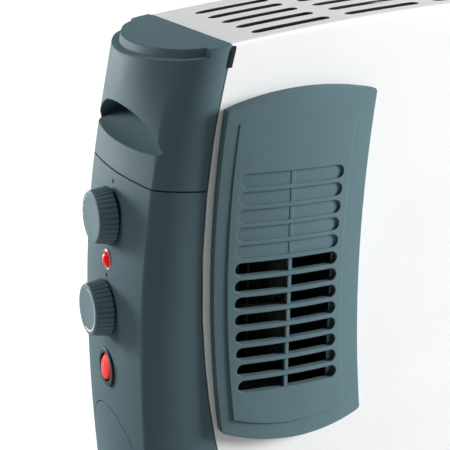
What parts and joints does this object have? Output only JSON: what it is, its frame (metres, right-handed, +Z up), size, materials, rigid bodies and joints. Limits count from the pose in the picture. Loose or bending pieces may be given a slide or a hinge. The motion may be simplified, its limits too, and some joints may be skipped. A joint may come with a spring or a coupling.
{
  "type": "convector heater",
  "caption": "Free-standing convector heater: arched white case with top outlet slots, dark end covers with grips, dials, a rocker switch and a fan grille, on two feet.",
  "frame": {"origin": "on the floor, under the middle of the whole heater", "axes": "+X along the case away from the controls, +Y towards the back, +Z up"},
  "size_m": [0.591, 0.2, 0.35],
  "materials": {
    "case_white": "white powder coat, satin",
    "housing_grey": "fine-textured dark slate grey moulding",
    "knob_grey": "smooth dark slate grey moulding",
    "black_plastic": "black moulding",
    "lamp_red": "clear red dome",
    "rocker_red": "glossy red, lit from inside",
    "galvanised_steel": "zinc-coated sheet and turned steel",
    "element_metal": "tube with pressed fins",
    "bush_ceramic": "unglazed white",
    "terminal_white": "white moulding",
    "pad_rubber": "black",
    "screw_steel": "zinc-plated"
  },
  "bodies": {
    "heater": {"case_wrap": "case_white", "back_panel": "case_white", "base_plate": "galvanised_steel", "seam_clips": "black_plastic", "left_handle_cover": "housing_grey", "right_handle_cover": "housing_grey", "left_control_housing": "housing_grey", "right_end_housing": "housing_grey", "left_lower_cover": "housing_grey", "right_lower_cover": "housing_grey", "thermostat_body": "black_plastic", "selector_body": "black_plastic", "shaft_nuts": "galvanised_steel", "control_plate": "galvanised_steel", "lamp_lens": "lamp_red", "lamp_holder": "black_plastic", "rocker_bezel": "black_plastic", "fan_grille": "housing_grey", "fan_shroud": "black_plastic", "fan_motor": "galvanised_steel", "motor_bracket": "galvanised_steel", "left_inner_wall": "galvanised_steel", "right_inner_wall": "galvanised_steel", "element_bushes": "bush_ceramic", "lower_heating_element": "element_metal", "upper_heating_element": "element_metal", "heat_shield": "galvanised_steel", "thermal_cutout": "galvanised_steel", "terminal_block": "terminal_white", "cable_inlet": "black_plastic", "left_foot": "housing_grey", "right_foot": "housing_grey", "foot_pads": "pad_rubber", "foot_screws": "screw_steel", "cover_screws": "screw_steel", "panel_screws": "screw_steel"},
    "thermostat_dial": {"thermostat_knob": "knob_grey", "thermostat_shaft": "galvanised_steel"},
    "selector_dial": {"selector_knob": "knob_grey", "selector_shaft": "galvanised_steel"},
    "rocker": {"rocker_button": "rocker_red"},
    "fan": {"fan_impeller": "black_plastic", "fan_rotor": "galvanised_steel"}
  },
  "joints": [
    {"name": "selector_turn", "type": "hinge", "parent": "heater", "child": "selector_dial", "pos_m": [-0.28436, 0, 0.228], "axis": [-1, 0, 0], "range_deg": [0, 180]},
    {"name": "thermostat_turn", "type": "hinge", "parent": "heater", "child": "thermostat_dial", "pos_m": [-0.28436, 0, 0.1733], "axis": [-1, 0, 0], "range_deg": [0, 270]},
    {"name": "rocker_tilt", "type": "hinge", "parent": "heater", "child": "rocker", "pos_m": [-0.28069, 0, 0.136], "axis": [0, 1, 0], "range_deg": [-18, 0]},
    {"name": "fan_spin", "type": "hinge", "parent": "heater", "child": "fan", "pos_m": [-0.20036, -0.012, 0.175], "axis": [0, 0, 1], "continuous": true}
  ]
}
